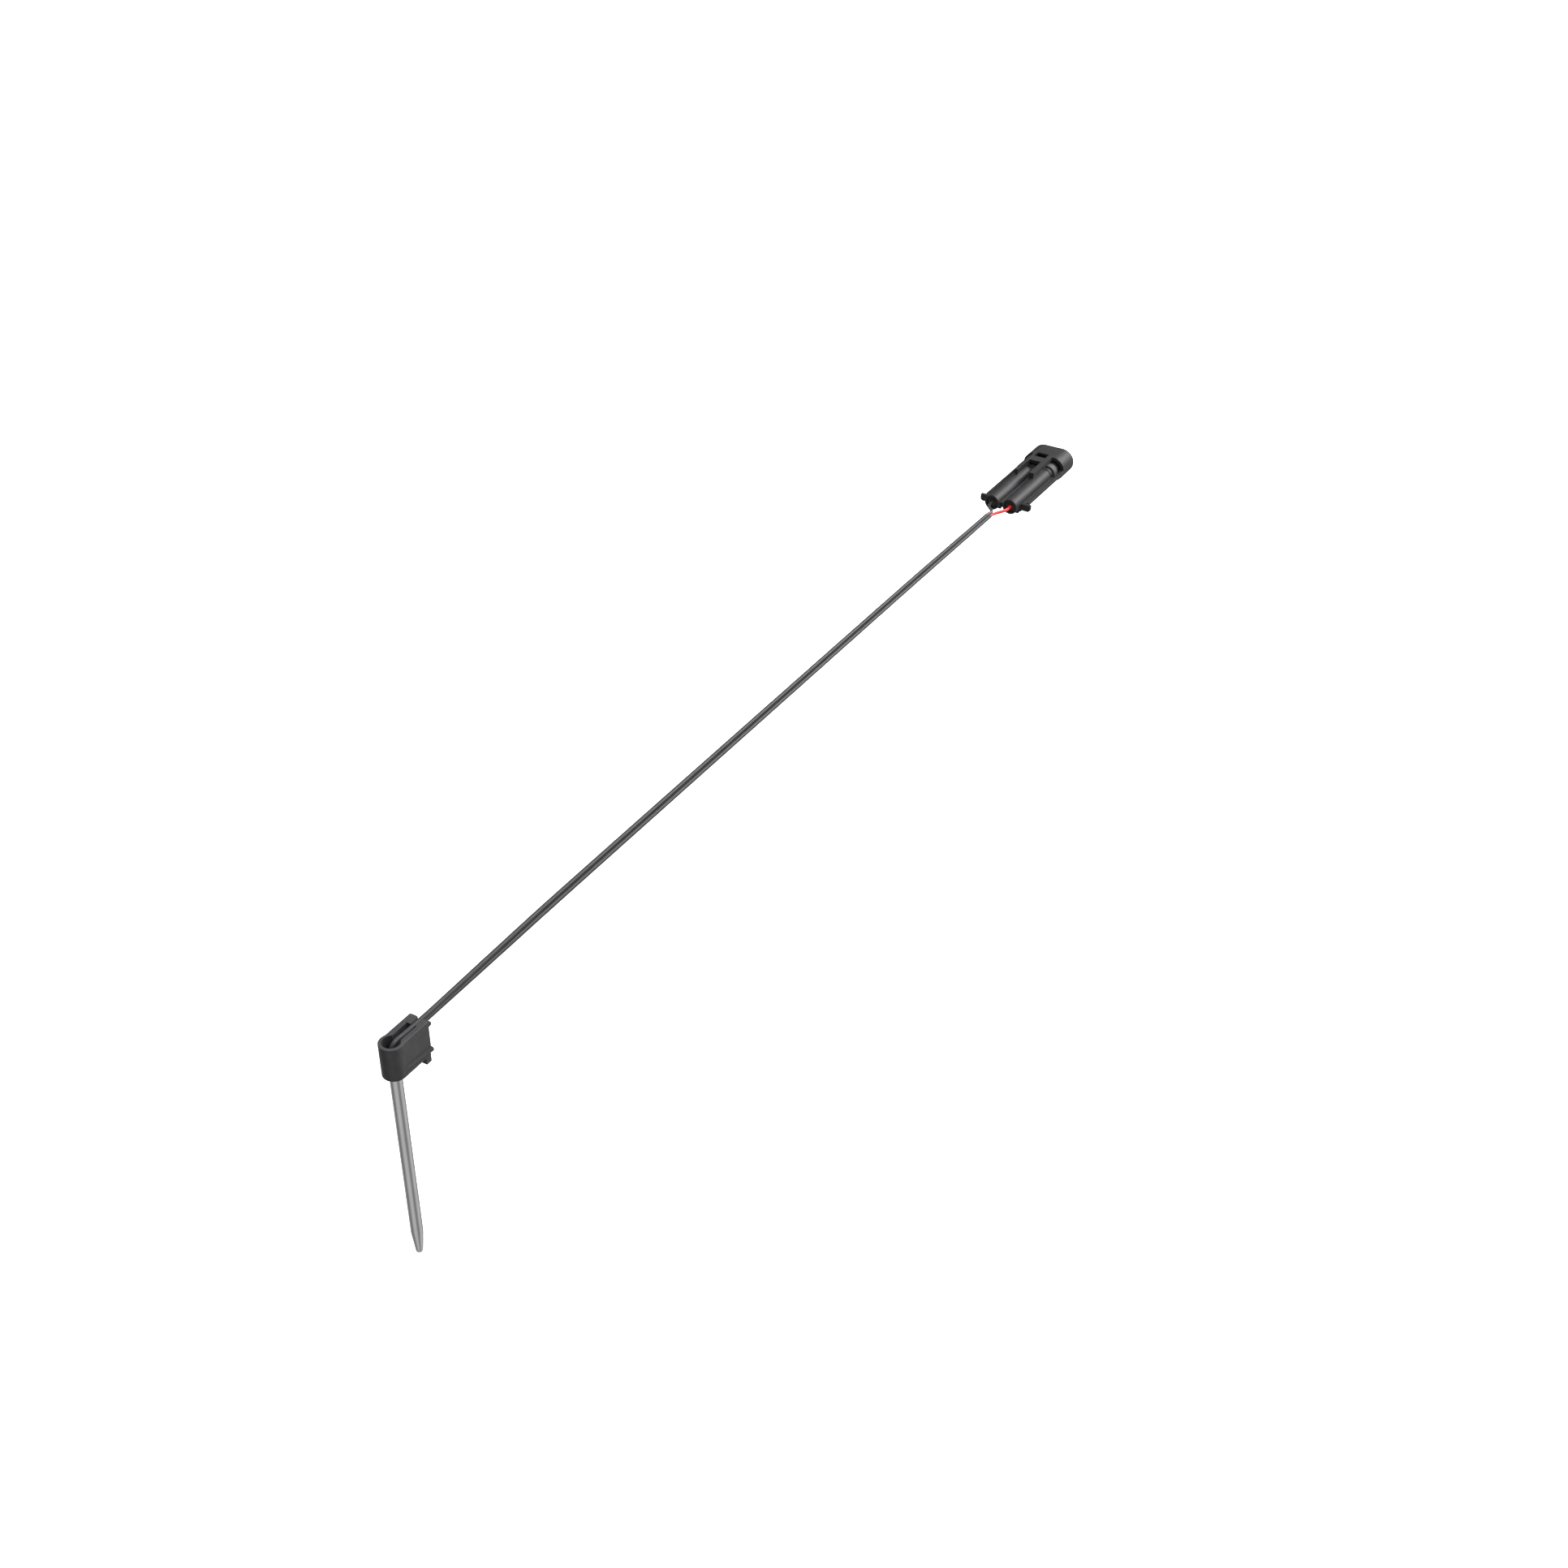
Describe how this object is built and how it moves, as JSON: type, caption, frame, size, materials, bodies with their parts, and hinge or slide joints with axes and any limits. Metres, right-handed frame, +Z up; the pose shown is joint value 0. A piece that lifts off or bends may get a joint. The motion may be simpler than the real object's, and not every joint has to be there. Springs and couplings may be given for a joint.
{
  "type": "soil moisture sensor",
  "caption": "Slim steel probe in a moulded clip-on holder, with a straight twin lead to a sealed automotive-style plug connector.",
  "frame": {"origin": "on the stem's axis, at the holder's underside", "axes": "+Z up along the stem, away from its tip; +X along the lead towards the connector"},
  "size_m": [0.5838, 0.0296, 0.1158],
  "materials": {
    "stem_steel": "drawn and lightly polished",
    "holder_plastic": "moulded, fine grain",
    "housing_plastic": "moulded, satin",
    "lock_plastic": "moulded, satin",
    "sleeve_pvc": "extruded, soft sheen",
    "black_insulation": "extruded",
    "red_insulation": "extruded",
    "shrink_sleeve": "shrunk",
    "tinned_contact": "tin plated",
    "leg_wire": "plain wire",
    "bead_glass": "fused glass",
    "resin": "cast",
    "seal_rubber": "moulded silicone",
    "ring_rubber": "moulded silicone",
    "bare_copper": "bare strands"
  },
  "bodies": {
    "probe": {"bead_leg_black": "leg_wire", "bead_leg_red": "leg_wire", "cable_seal_black": "seal_rubber", "cable_seal_red": "seal_rubber", "connector_housing": "housing_plastic", "holder": "holder_plastic", "inner_wire_black": "black_insulation", "inner_wire_red": "red_insulation", "lead_sleeve_black": "sleeve_pvc", "lead_sleeve_red": "sleeve_pvc", "probe_tube": "stem_steel", "sensing_bead": "bead_glass", "shroud_seal": "ring_rubber", "splice_crimp_black": "tinned_contact", "splice_crimp_red": "tinned_contact", "splice_sleeve_black": "shrink_sleeve", "splice_sleeve_red": "shrink_sleeve", "strand_black": "bare_copper", "strand_red": "bare_copper", "terminal_black": "tinned_contact", "terminal_red": "tinned_contact", "tip_potting": "resin", "top_seal": "seal_rubber", "wire_black": "black_insulation", "wire_red": "red_insulation"},
    "lock": {"secondary_lock": "lock_plastic"}
  },
  "joints": [
    {"name": "lock_slide", "type": "slide", "parent": "probe", "child": "lock", "axis": [-1, 0, 0], "range_m": [0, 0.0025]}
  ]
}
